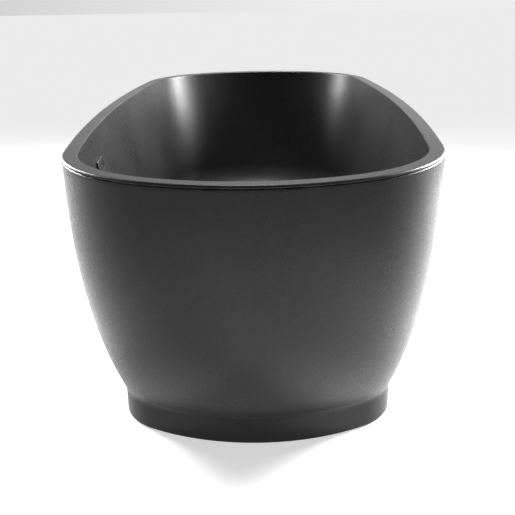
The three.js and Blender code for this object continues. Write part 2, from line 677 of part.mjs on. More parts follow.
const waste = new THREE.Group();
waste.position.x = WASTE_X;
bathtub.add(waste);
add("waste_flange", wasteFlange(), BLACK_METAL, waste);
add("waste_seal_top", wasteSealTop(), RUBBER, waste);
add("waste_seal_bottom", wasteSealBottom(), RUBBER, waste);
add("waste_back_nut", backNut(), WHITE_PLASTIC, waste);
add("trap_nut", trapNut(), WHITE_PLASTIC, waste);
add("trap_body", trapBody(), WHITE_PLASTIC, waste);
add("trap_cleaning_cap", trapCap(), WHITE_PLASTIC, waste);
add("outlet_nut", outletNut(), WHITE_PLASTIC, waste);
add("outlet_bend", outletBend(), WHITE_PLASTIC, waste);
add("plug_cap", plugCap(), BLACK_METAL, waste);
add("plug_seal", plugSeal(), RUBBER, waste);
add("plug_stem", plugStem(), BLACK_METAL, waste);

bathtub.add(overflowFrame);
add("overflow_cover", overflowCover(), BLACK_METAL, overflowFrame);
add("overflow_housing", overflowHousing(), WHITE_PLASTIC, overflowFrame);
add("overflow_seal", overflowSeal(), RUBBER, overflowFrame);
add("overflow_pipe", overflowPipe(), GREY_PLASTIC);

export default bathtub;
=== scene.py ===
"""The looks of a matt black freestanding bathtub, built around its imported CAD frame."""

import json
import math

import bmesh
import bpy
from mathutils import Matrix, Vector


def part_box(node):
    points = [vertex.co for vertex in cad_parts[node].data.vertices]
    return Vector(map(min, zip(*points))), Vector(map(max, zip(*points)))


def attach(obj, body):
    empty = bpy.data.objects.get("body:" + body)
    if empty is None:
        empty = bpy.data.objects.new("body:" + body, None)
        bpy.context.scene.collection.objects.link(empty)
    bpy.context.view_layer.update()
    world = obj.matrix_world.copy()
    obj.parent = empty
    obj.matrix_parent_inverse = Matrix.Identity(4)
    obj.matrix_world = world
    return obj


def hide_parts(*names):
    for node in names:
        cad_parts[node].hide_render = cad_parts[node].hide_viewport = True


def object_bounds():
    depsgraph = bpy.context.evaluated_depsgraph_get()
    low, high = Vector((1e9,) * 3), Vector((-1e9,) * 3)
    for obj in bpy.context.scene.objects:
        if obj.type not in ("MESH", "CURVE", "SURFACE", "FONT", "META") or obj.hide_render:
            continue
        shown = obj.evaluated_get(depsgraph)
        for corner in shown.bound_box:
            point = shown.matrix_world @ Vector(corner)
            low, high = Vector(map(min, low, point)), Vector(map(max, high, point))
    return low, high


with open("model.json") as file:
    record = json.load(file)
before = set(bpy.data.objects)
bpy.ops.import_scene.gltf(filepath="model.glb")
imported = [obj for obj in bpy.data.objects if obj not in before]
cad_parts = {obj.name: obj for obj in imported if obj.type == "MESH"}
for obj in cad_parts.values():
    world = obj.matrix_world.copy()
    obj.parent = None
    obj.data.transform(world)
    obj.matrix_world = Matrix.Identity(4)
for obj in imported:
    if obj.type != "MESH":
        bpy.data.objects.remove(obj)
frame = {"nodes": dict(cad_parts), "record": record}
cad_box = [list(map(float, corner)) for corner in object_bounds()]

# ---- sizes, in metres; the outer box and the main heights come from the frame ---------------------
LOWEST, HIGHEST = (Vector(corner) for corner in cad_box)
LENGTH = HIGHEST.x - LOWEST.x
WIDTH = HIGHEST.y - LOWEST.y
HEIGHT = HIGHEST.z
SKIRT_LOW, SKIRT_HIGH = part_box("outer_skirt")
FLOOR_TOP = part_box("waste_flange")[1].z
INSIDE = 0.0002  # how far the fine shells stay inside the CAD box

RIM = {"length": LENGTH, "width": WIDTH, "end": 0.467, "corner": 0.3, "side": 5.02}
PLINTH = {"length": 1.4, "width": 0.66, "end": 0.468, "corner": 0.126, "side": 3.678}
WALL_FOOT = {"length": 1.38, "width": 0.616, "end": 0.36, "corner": 0.23, "side": 3.9}
RIM_WIDTH = 0.03
RIM_THICKNESS = 0.005
RIM_OUTER_ROUND = 0.004
RIM_INNER_ROUND = 0.003
SEAM_BOTTOM = SKIRT_HIGH.z
PLINTH_HEIGHT = 0.062
SKIRT_BULGE = 2.51
END_SLOPE = 1.3
SIDE_SLOPE = 1.15
FLOOR_FILLET = 0.1
WALL_THICKNESS = 0.006
FLOOR_THICKNESS = 0.008
SKIRT_THICKNESS = 0.005
SKIRT_TOP_ROUND = 0.0025
SKIRT_FOOT_ROUND = 0.002
CREASE_ROUND = 0.008
RIM_LIP_ROUND = 0.0006
WALL_TOP_GAP = 0.001  # from the inner wall's top up to the rim's rounding
UNDER_RIM_GAP = 0.004  # from the rim's underside down to the wall's back
ABOVE_FILLET_GAP = 0.005
SKIRT_FOOT_BAND = 0.01
SKIRT_LEDGE = 0.003  # clear of the basin's wall
FLOOR_SHARES = [0.02, 0.15, 0.3, 0.5, 0.7, 0.85]

FILLET_STEPS = 22
UNDER_FILLET_STEPS = 12
WALL_STEPS = 40
WALL_BACK_STEPS = 14
SKIRT_STEPS = 110
SKIRT_BACK_STEPS = 24

RECESS_CLEARANCE = 0.0006
RECESS_DEPTH = 0.0043
WASTE_HOLE_RADIUS = 0.023
CUT_ABOVE = 0.02
CUT_BELOW = 0.03

COVER_WIDTH = 0.0698
COVER_HEIGHT = 0.0318
COVER_DEPTH = 0.005
COVER_CORNER = 0.005
COVER_FOOT = 0.0006  # gap between the cover and the wall
COVER_EDGE = 0.0012
COVER_FACE_CORNER = 0.0042
PANEL_MARGIN = 0.0085
PANEL_MOUTH_MARGIN = 0.007
PANEL_DEPTH = 0.0009
SLOT_MARGIN = 0.024
SLOT_HEIGHT = 0.0055
SLOT_CORNER = 0.0024
SLOT_DEPTH = 0.0022
HOLLOW_MARGIN = 0.006
HOLLOW_DEPTH = 0.0023
INTAKE_MARGIN = 0.014
INTAKE_HEIGHT = 0.01
INTAKE_CORNER = 0.001
WALL_SLOT = {"width": 0.054, "height": 0.016, "corner": 0.003, "low": -0.02, "high": 0.004}
CUTTER_CORNER = 0.003
CUTTER_MARGIN = 0.001  # how far a cutter starts outside the piece that it cuts

CAP_RADIUS = 0.031
CAP_ROUND = 0.0009
STEM_RADIUS = 0.004
STEM_GROOVE_RADIUS = 0.0034
STUD_RADIUS = 0.006
STUD_HOLE_RADIUS = 0.0066
THREAD_PITCH = 0.0016
THREAD_DEPTH = 0.0006
PAD_RADIUS = 0.027
PAD_SOCKET_RADIUS = 0.0065
PAD_NECK_RADIUS = 0.012
PAD_ROUND = 0.0012
NUT_RADIUS = 0.011
NUT_SIDES = 6
NUT_CHAMFER = 0.12  # of its radius
NUT_TURNED_RADIUS = 0.9  # of its radius
POINTS_PER_SIDE = 8
BORE_MARGIN = 0.01
FEET = range(1, 6)

LONGEST_ROUND = 0.45  # of the shorter stretch beside a rounded corner
SHARP_ABOVE = 32  # degrees
BEVEL_ABOVE = 38  # degrees
WELD = 2e-6
ROUNDED_EDGES = {
    "base_board": 0.001,
    "frame_rail_left": 0.0012,
    "frame_rail_right": 0.0012,
    "cross_member_head": 0.0012,
    "cross_member_middle": 0.0012,
    "cross_member_foot": 0.0012,
    "skirt_bracket_head_left": 0.0006,
    "skirt_bracket_head_right": 0.0006,
    "skirt_bracket_foot_left": 0.0006,
    "skirt_bracket_foot_right": 0.0006,
    "waste_back_nut": 0.001,
    "trap_nut": 0.001,
    "trap_body": 0.0008,
    "trap_cleaning_cap": 0.001,
    "outlet_nut": 0.001,
    "outlet_bend": 0.0006,
    "overflow_housing": 0.0006,
}
TINY = 1e-5  # radius of a lathed piece's hole on its axis, before it is filled

# ---- looks and studio ---------------------------------------------------------------------------
SHELL_DARK = (0.009, 0.009, 0.0094)
SHELL_LIGHT = (0.014, 0.014, 0.0144)
SHELL_SHEEN = 0.24
# painted highlight: a light grey laid into the shell's colour along convex edges
EDGE_HIGHLIGHT = (0.2, 0.2, 0.205)
SHELL_ROUGHNESS = 0.34
SHELL_GRAIN = 330
SHELL_GRAIN_DEPTH = 0.00035
SHELL_MOTTLING = 0.12  # how far the grain changes the roughness
FLOOR_GLOW = 0.55
ROOM_BRIGHTEST = (-0.85, 0.52, 0)
ROOM_FRONT = 0.2
ROOM_BACK = 0.85
CAMERA_PLACE = Vector((1.9449, 0.0202, 0.8667))
CAMERA_PITCH = 0.3553
CAMERA_YAW = 0.0111
CAMERA_ROLL = -0.0176
LENS = 50.49  # mm
SENSOR = 36  # mm, square
FLOOR_HALF_WIDTH = 30


# ---- ovals in plan ------------------------------------------------------------------------------
def oval(shape, end_steps=40, corner_steps=22, side_steps=40):
    """Points and outward normals of a three-arc oval, once round, anticlockwise."""
    end, corner, side = shape["end"], shape["corner"], shape["side"]
    end_centre = Vector((shape["length"] / 2 - end, 0))
    side_centre = Vector((0, shape["width"] / 2 - side))
    span = (side_centre - end_centre).length
    direction = (side_centre - end_centre) / span
    along = ((end - corner) ** 2 - (side - corner) ** 2 + span**2) / (2 * span)
    across = math.sqrt((end - corner) ** 2 - along**2)
    corner_centre = end_centre + direction * along + Vector((-direction.y, direction.x)) * across
    to_end, to_side = corner_centre - end_centre, corner_centre - side_centre
    end_angle = math.atan2(to_end.y, to_end.x)
    side_angle = math.atan2(to_side.y, to_side.x)
    arcs = [
        (end_centre, end, 0, end_angle, end_steps),
        (corner_centre, corner, end_angle, side_angle, corner_steps),
        (side_centre, side, side_angle, math.pi / 2, side_steps),
    ]
    quadrant = []
    for centre, radius, start, stop, steps in arcs:
        for i in range(steps):
            angle = start + (stop - start) * i / steps
            normal = Vector((math.cos(angle), math.sin(angle)))
            quadrant.append((centre + normal * radius, normal))
    quadrant.append((Vector((0, shape["width"] / 2)), Vector((0, 1))))

    def flipped(part, x, y):
        return [(Vector((p.x * x, p.y * y)), Vector((n.x * x, n.y * y))) for p, n in part]

    back = quadrant[::-1]
    return (
        quadrant[:-1]
        + flipped(back, -1, 1)[:-1]
        + flipped(quadrant, -1, -1)[:-1]
        + flipped(back, 1, -1)[:-1]
    )


def grown(outline, distance):
    """The outline moved outwards along its normals."""
    return [(p + n * distance, n) for p, n in outline]


def mixed(outline, other, along_x, along_y):
    """An outline between two others, at its own share of the way along x and along y."""
    points = []
    for (p, n), (q, m) in zip(outline, other):
        point = Vector((p.x + (q.x - p.x) * along_x, p.y + (q.y - p.y) * along_y))
        points.append((point, n.lerp(m, (along_x + along_y) / 2).normalized()))
    return points


def at_height(outline, z):
    return [Vector((p.x, p.y, z)) for p, _ in outline]


RIM_OUTLINE = grown(oval(RIM), -INSIDE)
PLINTH_OUTLINE = oval(PLINTH)
BASIN_TOP_OUTLINE = grown(RIM_OUTLINE, -RIM_WIDTH)
WALL_FOOT_OUTLINE = oval(WALL_FOOT)


def skirt_outline(z):
    """The skirt in plan: the rim's oval at the top, drawn in to the plinth's."""
    down = min(1, max(0, (HEIGHT - z) / (HEIGHT - PLINTH_HEIGHT)))
    inwards = down**SKIRT_BULGE
    return mixed(RIM_OUTLINE, PLINTH_OUTLINE, inwards, inwards)


def wall_outline(z):
    """The basin's inner wall in plan."""
    down = min(1, max(0, (HEIGHT - z) / (HEIGHT - FLOOR_TOP)))
    return mixed(BASIN_TOP_OUTLINE, WALL_FOOT_OUTLINE, down**END_SLOPE, down**SIDE_SLOPE)


def steps(low, high, count):
    """Evenly spaced values from low to high, both included."""
    return [low + (high - low) * i / count for i in range(count + 1)]


# ---- meshes -------------------------------------------------------------------------------------
def mesh_object(name, vertices, faces, smooth=True):
    mesh = bpy.data.meshes.new(name)
    mesh.from_pydata(vertices, [], faces)
    mesh.validate()
    mesh.update()
    mesh.polygons.foreach_set("use_smooth", [smooth] * len(mesh.polygons))
    piece = bpy.data.objects.new(name, mesh)
    bpy.context.scene.collection.objects.link(piece)
    return piece


def loft(name, rings, closed):
    """A surface through the rings, joined into a loop when closed."""
    count = len(rings[0])
    vertices = [p for ring in rings for p in ring]
    faces = []
    for r in range(len(rings) if closed else len(rings) - 1):
        upper = (r + 1) % len(rings) * count
        for i in range(count):
            j = (i + 1) % count
            faces.append((r * count + i, r * count + j, upper + j, upper + i))
    return mesh_object(name, vertices, faces)


def arc_rings(outline_at, centre_inset, centre_z, radius, start, stop, count):
    """Rings round an edge's quarter arc, seen in section. Angles are degrees, 0 outward, 90 up."""
    rings = []
    for angle in steps(math.radians(start), math.radians(stop), count):
        inset = centre_inset - radius * math.cos(angle)
        z = centre_z + radius * math.sin(angle)
        rings.append(at_height(grown(outline_at(z), -inset), z))
    return rings


def rim_at(_):
    return RIM_OUTLINE


# ---- the two shells -----------------------------------------------------------------------------
def basin_surface():
    """The basin's whole section, from the middle of its floor over the rim and back underneath."""
    fillet_top = FLOOR_TOP + FLOOR_FILLET

    def fillet(thickness, start, stop, count):
        rings = []
        for angle in steps(math.radians(start), math.radians(stop), count):
            radius = FLOOR_FILLET + thickness
            z = fillet_top - radius * math.sin(angle)
            inset = FLOOR_FILLET - radius * math.cos(angle)
            rings.append(at_height(grown(wall_outline(max(z, FLOOR_TOP)), -inset), z))
        return rings

    def shrunk(ring, share):
        return [Vector((p.x * share, p.y * share, p.z)) for p in ring]

    inner_floor = fillet(0, 90, 2, FILLET_STEPS)
    outer_floor = fillet(FLOOR_THICKNESS, 2, 90, UNDER_FILLET_STEPS)
    wall_top = HEIGHT - RIM_INNER_ROUND - WALL_TOP_GAP
    inner_wall = [at_height(wall_outline(z), z) for z in steps(fillet_top, wall_top, WALL_STEPS)]
    top = HEIGHT - INSIDE
    rim = (
        arc_rings(rim_at, RIM_WIDTH - RIM_INNER_ROUND, top - RIM_INNER_ROUND, RIM_INNER_ROUND, 180, 90, 6)
        + arc_rings(rim_at, RIM_OUTER_ROUND, top - RIM_OUTER_ROUND, RIM_OUTER_ROUND, 90, 0, 7)
        + arc_rings(rim_at, RIM_LIP_ROUND, top - RIM_THICKNESS + RIM_LIP_ROUND, RIM_LIP_ROUND, 0, -90, 3)
    )
    under = top - RIM_THICKNESS
    rim.append(at_height(grown(RIM_OUTLINE, WALL_THICKNESS - RIM_WIDTH), under))
    outer_wall = [
        at_height(grown(wall_outline(z), WALL_THICKNESS), z)
        for z in steps(under - UNDER_RIM_GAP, fillet_top + ABOVE_FILLET_GAP, WALL_BACK_STEPS)
    ]
    floor_centre = [shrunk(inner_floor[0], share) for share in FLOOR_SHARES]
    under_centre = [shrunk(outer_floor[-1], share) for share in FLOOR_SHARES]
    return [
        *floor_centre,
        *inner_floor,
        *inner_wall,
        *rim,
        *outer_wall,
        *outer_floor,
        *under_centre[::-1],
    ]


def skirt_surface():
    """The skirt's whole section, from its top edge down outside and back up inside."""
    top_edge = SEAM_BOTTOM - SKIRT_TOP_ROUND
    rings = []
    for angle in steps(math.pi / 2, 0, 5):
        inset = SKIRT_TOP_ROUND * (1 - math.cos(angle))
        z = top_edge + SKIRT_TOP_ROUND * math.sin(angle)
        rings.append(at_height(grown(skirt_outline(top_edge), -inset), z))
    lowest = SKIRT_LOW.z + SKIRT_FOOT_ROUND
    for z in steps(top_edge, lowest, SKIRT_STEPS)[1:]:
        rings.append(at_height(softened_skirt(z), z))
    for angle in steps(0, math.pi / 2, 4)[1:]:
        inset = SKIRT_FOOT_ROUND * (1 - math.cos(angle))
        rings.append(at_height(grown(PLINTH_OUTLINE, -inset), lowest - SKIRT_FOOT_ROUND * math.sin(angle)))
    rings.append(at_height(grown(PLINTH_OUTLINE, -SKIRT_THICKNESS), SKIRT_LOW.z))
    for z in steps(SKIRT_LOW.z + SKIRT_FOOT_BAND, SEAM_BOTTOM - SKIRT_THICKNESS, SKIRT_BACK_STEPS):
        rings.append(at_height(grown(softened_skirt(z), -SKIRT_THICKNESS), z))
    ledge = WALL_THICKNESS + SKIRT_LEDGE - RIM_WIDTH
    rings.append(at_height(grown(RIM_OUTLINE, ledge), SEAM_BOTTOM - SKIRT_THICKNESS))
    rings.append(at_height(grown(RIM_OUTLINE, ledge), SEAM_BOTTOM))
    return rings


def softened_skirt(z):
    """The skirt's outline, with the crease above the plinth rounded to a small cove."""
    weights = [(offset, math.cos(offset * math.pi / 2)) for offset in steps(-1, 1, 8)]
    total = sum(weight for _, weight in weights)
    rings = [(skirt_outline(min(HEIGHT, z + CREASE_ROUND * offset)), weight) for offset, weight in weights]
    outline = []
    for i, (_, normal) in enumerate(skirt_outline(z)):
        point = Vector((0, 0))
        for ring, weight in rings:
            point += ring[i][0] * (weight / total)
        outline.append((point, normal))
    return outline


def closed_shell(name, rings, caps):
    """A closed piece lofted through rings. With caps its first and last rings are filled in."""
    piece = loft(name, rings, closed=not caps)
    body = bmesh.new()
    body.from_mesh(piece.data)
    if caps:
        bmesh.ops.holes_fill(body, edges=[e for e in body.edges if e.is_boundary], sides=0)
    bmesh.ops.recalc_face_normals(body, faces=body.faces)
    body.to_mesh(piece.data)
    body.free()
    shade(piece)
    return piece


def shade(piece):
    """Smooth shading, with the sharp edges kept."""
    mesh = piece.data
    mesh.polygons.foreach_set("use_smooth", [True] * len(mesh.polygons))
    mesh.set_sharp_from_angle(angle=math.radians(SHARP_ABOVE))


def cut(piece, *cutters):
    """Cuts closed pieces out of a piece and removes them."""
    for cutter in cutters:
        modifier = piece.modifiers.new("cut", "BOOLEAN")
        modifier.operation = "DIFFERENCE"
        modifier.solver = "EXACT"
        modifier.object = cutter
        apply_modifiers(piece)
        bpy.data.objects.remove(cutter)
    shade(piece)
    even = piece.modifiers.new("even_shading", "WEIGHTED_NORMAL")
    even.keep_sharp = True
    apply_modifiers(piece)


def apply_modifiers(piece):
    depsgraph = bpy.context.evaluated_depsgraph_get()
    mesh = bpy.data.meshes.new_from_object(piece.evaluated_get(depsgraph))
    piece.modifiers.clear()
    old, piece.data = piece.data, mesh
    bpy.data.meshes.remove(old)
    mesh.name = piece.name


def ring_about(centre, radius, z, sides):
    angles = [2 * math.pi * i / sides for i in range(sides)]
    return [
        Vector((centre[0] + radius * math.cos(angle), centre[1] + radius * math.sin(angle), z))
        for angle in angles
    ]


def lathe(name, profile, centre=(0, 0), sides=96):
    """A closed solid of revolution about a vertical axis, from [radius, z] points round its section."""
    on_axis = profile[0][0] < TINY
    if on_axis:
        profile = [(TINY, profile[0][1]), *profile[1:-1], (TINY, profile[-1][1])]
    rings = [ring_about(centre, radius, z, sides) for radius, z in profile]
    return closed_shell(name, rings, caps=on_axis)


def rod(name, radius, low, high, centre=(0, 0), sides=64):
    return lathe(name, [(0, low), (radius, low), (radius, high), (0, high)], centre, sides)


# ---- materials ----------------------------------------------------------------------------------
def new_material(name, roughness=0.5, metallic=0.0):
    made = bpy.data.materials.new(name)
    made.use_nodes = True
    shader = made.node_tree.nodes["Principled BSDF"]
    shader.inputs["Roughness"].default_value = roughness
    shader.inputs["Metallic"].default_value = metallic
    return made, made.node_tree, shader


def noise(tree, scale, detail=3.0, roughness=0.5, stretch=(1, 1, 1)):
    place = tree.nodes.new("ShaderNodeTexCoord")
    mapping = tree.nodes.new("ShaderNodeMapping")
    mapping.inputs["Scale"].default_value = stretch
    tree.links.new(place.outputs["Object"], mapping.inputs["Vector"])
    texture = tree.nodes.new("ShaderNodeTexNoise")
    texture.inputs["Scale"].default_value = scale
    texture.inputs["Detail"].default_value = detail
    texture.inputs["Roughness"].default_value = roughness
    tree.links.new(mapping.outputs["Vector"], texture.inputs["Vector"])
    return texture.outputs["Fac"]


def spread(tree, value, low, high, spread_from=0.3, spread_to=0.7):
    """A texture's value taken to the range from low to high."""
    node = tree.nodes.new("ShaderNodeMapRange")
    node.inputs["From Min"].default_value = spread_from
    node.inputs["From Max"].default_value = spread_to
    node.inputs["To Min"].default_value = low
    node.inputs["To Max"].default_value = high
    tree.links.new(value, node.inputs["Value"])
    return node.outputs["Result"]


def two_colours(tree, value, low, high, spread_from=0.35, spread_to=0.65):
    """A texture's value turned to a colour between low and high."""
    ramp = tree.nodes.new("ShaderNodeValToRGB")
    for stop, place, colour in zip(ramp.color_ramp.elements, (spread_from, spread_to), (low, high)):
        stop.position = place
        stop.color = (*colour, 1)
    tree.links.new(value, ramp.inputs["Fac"])
    return ramp.outputs["Color"]


def bump(tree, shader, value, depth, strength=1.0):
    """Relief of the given depth in metres, on top of what the shader already has."""
    node = tree.nodes.new("ShaderNodeBump")
    node.inputs["Strength"].default_value = strength
    node.inputs["Distance"].default_value = depth
    tree.links.new(value, node.inputs["Height"])
    under = shader.inputs["Normal"].links
    if under:
        tree.links.new(under[0].from_socket, node.inputs["Normal"])
    tree.links.new(node.outputs["Normal"], shader.inputs["Normal"])


def moulded(name, dark, light, roughness, grain_size, grain_depth, metallic=0.0):
    """A surface whose colour and roughness drift a little over a fine grain."""
    made, tree, shader = new_material(name, metallic=metallic)
    drift = noise(tree, scale=9, detail=4)
    grain = noise(tree, scale=1 / grain_size, detail=2)
    tree.links.new(two_colours(tree, drift, dark, light), shader.inputs["Base Color"])
    tree.links.new(spread(tree, drift, *roughness), shader.inputs["Roughness"])
    bump(tree, shader, grain, grain_depth)
    return made


def shell_material():
    """Matt black acrylic with a fine satin grain, faint clouds, soft wipe marks and a painted highlight along
    convex edges such as the rim's.
    """
    made, tree, shader = new_material("matt_black_acrylic")
    clouds = noise(tree, scale=5, detail=5, roughness=0.6)
    wiped = noise(tree, scale=7, detail=3, roughness=0.5, stretch=(1, 1, 0.15))
    grain = noise(tree, scale=SHELL_GRAIN, detail=2, roughness=0.7)
    colour = two_colours(tree, clouds, SHELL_DARK, SHELL_LIGHT)
    shader.inputs["Specular IOR Level"].default_value = SHELL_SHEEN
    # the base colour carries a painted highlight along convex edges
    tree.links.new(painted_edge_highlights(tree, colour, EDGE_HIGHLIGHT), shader.inputs["Base Color"])
    dull = spread(tree, clouds, low=-0.015, high=0.02)
    streaked = spread(tree, wiped, low=SHELL_ROUGHNESS - 0.02, high=SHELL_ROUGHNESS + 0.025)
    mottled = spread(tree, grain, low=-SHELL_MOTTLING, high=SHELL_MOTTLING)
    uneven = combined(tree, "ADD", combined(tree, "ADD", dull, streaked), mottled)
    tree.links.new(uneven, shader.inputs["Roughness"])
    bump(tree, shader, grain, SHELL_GRAIN_DEPTH)
    return made


def combined(tree, operation, value, other):
    node = tree.nodes.new("ShaderNodeMath")
    node.operation = operation
    tree.links.new(value, node.inputs[0])
    tree.links.new(other, node.inputs[1])
    return node.outputs[0]


def painted_edge_highlights(tree, colour, highlight_colour):
    """The colour with a painted highlight: a little lighter along convex edges, broken up by noise."""
    geometry = tree.nodes.new("ShaderNodeNewGeometry")
    edge = spread(tree, geometry.outputs["Pointiness"], low=0, high=1, spread_from=0.515, spread_to=0.56)
    patchy = spread(tree, noise(tree, scale=40, detail=4), low=0.1, high=0.8)
    mix = tree.nodes.new("ShaderNodeMix")
    mix.data_type = "RGBA"
    tree.links.new(combined(tree, "MULTIPLY", edge, patchy), mix.inputs["Factor"])
    tree.links.new(colour, mix.inputs["A"])
    mix.inputs["B"].default_value = (*highlight_colour, 1)
    return mix.outputs["Result"]


def plywood_material():
    """Birch plywood with its grain along the tub."""
    made, tree, shader = new_material("birch_plywood")
    grain = noise(tree, scale=60, detail=6, roughness=0.6, stretch=(0.06, 1, 1))
    colour = two_colours(tree, grain, low=(0.33, 0.2, 0.1), high=(0.62, 0.44, 0.26))
    tree.links.new(colour, shader.inputs["Base Color"])
    tree.links.new(spread(tree, grain, low=0.55, high=0.8), shader.inputs["Roughness"])
    bump(tree, shader, grain, depth=0.0002, strength=0.6)
    return made


MATERIALS = {
    "shell": shell_material(),
    "black_metal": moulded(
        "satin_black_metal", dark=(0.012, 0.012, 0.013), light=(0.022, 0.022, 0.024),
        roughness=(0.24, 0.34), grain_size=0.0012, grain_depth=0.00001, metallic=0.3,
    ),
    "zinc": moulded(
        "zinc_plate", dark=(0.42, 0.44, 0.46), light=(0.62, 0.63, 0.64),
        roughness=(0.25, 0.45), grain_size=0.002, grain_depth=0.00002, metallic=1.0,
    ),
    "frame_paint": moulded(
        "black_powder_coat", dark=(0.014, 0.015, 0.017), light=(0.024, 0.025, 0.027),
        roughness=(0.42, 0.55), grain_size=0.0018, grain_depth=0.00006,
    ),
    "plywood": plywood_material(),
    "rubber": moulded(
        "black_rubber", dark=(0.012, 0.012, 0.012), light=(0.026, 0.026, 0.025),
        roughness=(0.7, 0.85), grain_size=0.0015, grain_depth=0.00004,
    ),
    "white_plastic": moulded(
        "white_plastic", dark=(0.66, 0.66, 0.63), light=(0.78, 0.78, 0.76),
        roughness=(0.35, 0.5), grain_size=0.003, grain_depth=0.00003,
    ),
    "grey_plastic": moulded(
        "grey_plastic", dark=(0.17, 0.18, 0.19), light=(0.23, 0.24, 0.25),
        roughness=(0.4, 0.55), grain_size=0.003, grain_depth=0.00003,
    ),
    "sealant": moulded(
        "adhesive", dark=(0.02, 0.02, 0.02), light=(0.035, 0.035, 0.035),
        roughness=(0.5, 0.7), grain_size=0.004, grain_depth=0.00008,
    ),
}
SLOTS = {part["node"]: part["material_slot"] for part in frame["record"]["subparts"]}


def finish_piece(piece, *nodes):
    """Gives a fine piece the body and finish of the CAD nodes it stands for, and puts it in their place."""
    slot = SLOTS[nodes[0]]
    if not piece.data.materials:
        piece.data.materials.append(MATERIALS[slot])
    body = next(b for b, members in frame["record"]["behaviour"]["bodies"].items() if nodes[0] in members)
    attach(piece, body)
    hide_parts(*nodes)


for node, cad_object in frame["nodes"].items():
    cad_object.data.materials.clear()
    cad_object.data.materials.append(MATERIALS[SLOTS[node]])


# ---- basin and skirt ----------------------------------------------------------------------------
def axis_of(node):
    """Where an upright node's middle stands in plan."""
    low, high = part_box(node)
    return (low.x + high.x) / 2, (low.y + high.y) / 2


def waste_cutters():
    """The recess for the waste's flange and the hole for its tube."""
    low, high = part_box("waste_flange")
    flange_radius = (high.x - low.x) / 2
    centre = Vector(axis_of("waste_flange"))
    above = FLOOR_TOP + CUT_ABOVE
    return (
        rod("recess", flange_radius + RECESS_CLEARANCE, FLOOR_TOP - RECESS_DEPTH, above, centre),
        rod("hole", WASTE_HOLE_RADIUS, FLOOR_TOP - CUT_BELOW, above, centre),
    )


basin = closed_shell("basin_shell", basin_surface(), caps=True)
cut(basin, *waste_cutters())

skirt = closed_shell("skirt_shell", skirt_surface(), caps=False)
finish_piece(skirt, "outer_skirt")


# ---- overflow, in a frame on the basin's wall ----------------------------------------------------
def overflow_frame():
    """Places x along the wall, y up it and z into the basin, from the cover's own faces."""
    cover = frame["nodes"]["overflow_cover"]
    mesh, place = cover.data, cover.matrix_world
    faces = sorted(mesh.polygons, key=lambda face: -face.area)
    into = max((place.to_3x3() @ face.normal for face in faces[:4]), key=lambda n: n.y).normalized()
    along = into.cross(Vector((0, 0, 1))).normalized()
    up = along.cross(into)
    if up.z < 0:
        along, up = -along, -up
    corners = [place @ vertex.co for vertex in mesh.vertices]
    middle = sum(corners, Vector()) / len(corners)
    centre = middle.copy()
    for axis in (along, up, into):
        reach = [axis.dot(corner - middle) for corner in corners]
        centre += axis * (max(reach) + min(reach)) / 2
    front = max(into.dot(corner - centre) for corner in corners)
    origin = centre + into * (front - COVER_DEPTH)
    return Matrix.Translation(origin) @ Matrix((along, up, into)).transposed().to_4x4()


def rounded_outline(width, height, corner, steps_each=8):
    """A rectangle with rounded corners, round the origin."""
    points = []
    for quarter in range(4):
        turn = quarter * math.pi / 2
        x = (width / 2 - corner) * (1 if quarter in (0, 3) else -1)
        y = (height / 2 - corner) * (1 if quarter < 2 else -1)
        for i in range(steps_each + 1):
            angle = turn + math.pi / 2 * i / steps_each
            points.append((x + corner * math.cos(angle), y + corner * math.sin(angle)))
    return points


def plate(name, sections):
    """A closed block with rounded corners, lofted through [width, height, corner, z] sections."""
    rings = [[Vector((x, y, z)) for x, y in rounded_outline(w, h, c)] for w, h, c, z in sections]
    return closed_shell(name, rings, caps=True)


def straight_plate(name, width, height, corner, low, high):
    return plate(name, [(width, height, corner, low), (width, height, corner, high)])


def placed(piece, matrix):
    piece.data.transform(matrix)
    return piece


def cover_body():
    width, height = COVER_WIDTH, COVER_HEIGHT
    softening = 0.0007
    return plate("overflow_cover_fine", [
        (width, height, COVER_CORNER, COVER_FOOT),
        (width, height, COVER_CORNER, COVER_DEPTH - COVER_EDGE),
        (width - softening, height - softening, 0.0047, COVER_DEPTH - COVER_EDGE * 0.3),
        (width - 2 * COVER_EDGE, height - 2 * COVER_EDGE, COVER_FACE_CORNER, COVER_DEPTH),
    ])


def cover_cutters():
    """The sunk panel, the slot across it, the hollow behind it and the intake along its lower edge."""
    width, height = COVER_WIDTH, COVER_HEIGHT
    front = COVER_DEPTH + CUTTER_MARGIN
    panel = plate("panel", [
        (width - PANEL_MARGIN, height - PANEL_MARGIN, CUTTER_CORNER, COVER_DEPTH - PANEL_DEPTH),
        (width - PANEL_MOUTH_MARGIN, height - PANEL_MOUTH_MARGIN, 0.0032, front),
    ])
    slot_bottom = COVER_DEPTH - SLOT_DEPTH
    slot = straight_plate("slot", width - SLOT_MARGIN, SLOT_HEIGHT, SLOT_CORNER, slot_bottom, front)
    hollow = straight_plate(
        "hollow", width - HOLLOW_MARGIN, height - HOLLOW_MARGIN, CUTTER_CORNER, -CUTTER_MARGIN, HOLLOW_DEPTH
    )
    intake = straight_plate(
        "intake", width - INTAKE_MARGIN, INTAKE_HEIGHT, INTAKE_CORNER, -CUTTER_MARGIN, HOLLOW_DEPTH
    )
    lower_edge = Matrix.Translation((0, -height / 2, 0))
    return panel, slot, hollow, placed(intake, lower_edge)


def overflow_cover(on_wall):
    """A shallow pressed cover with a rounded face, a sunk panel and a slot, open along its lower edge."""
    cover = cover_body()
    cut(cover, *cover_cutters())
    finish_piece(placed(cover, on_wall), "overflow_cover")


ON_WALL = overflow_frame()
overflow_cover(ON_WALL)
wall_slot = straight_plate("wall_slot", **WALL_SLOT)
cut(basin, placed(wall_slot, ON_WALL))
finish_piece(basin, "basin")
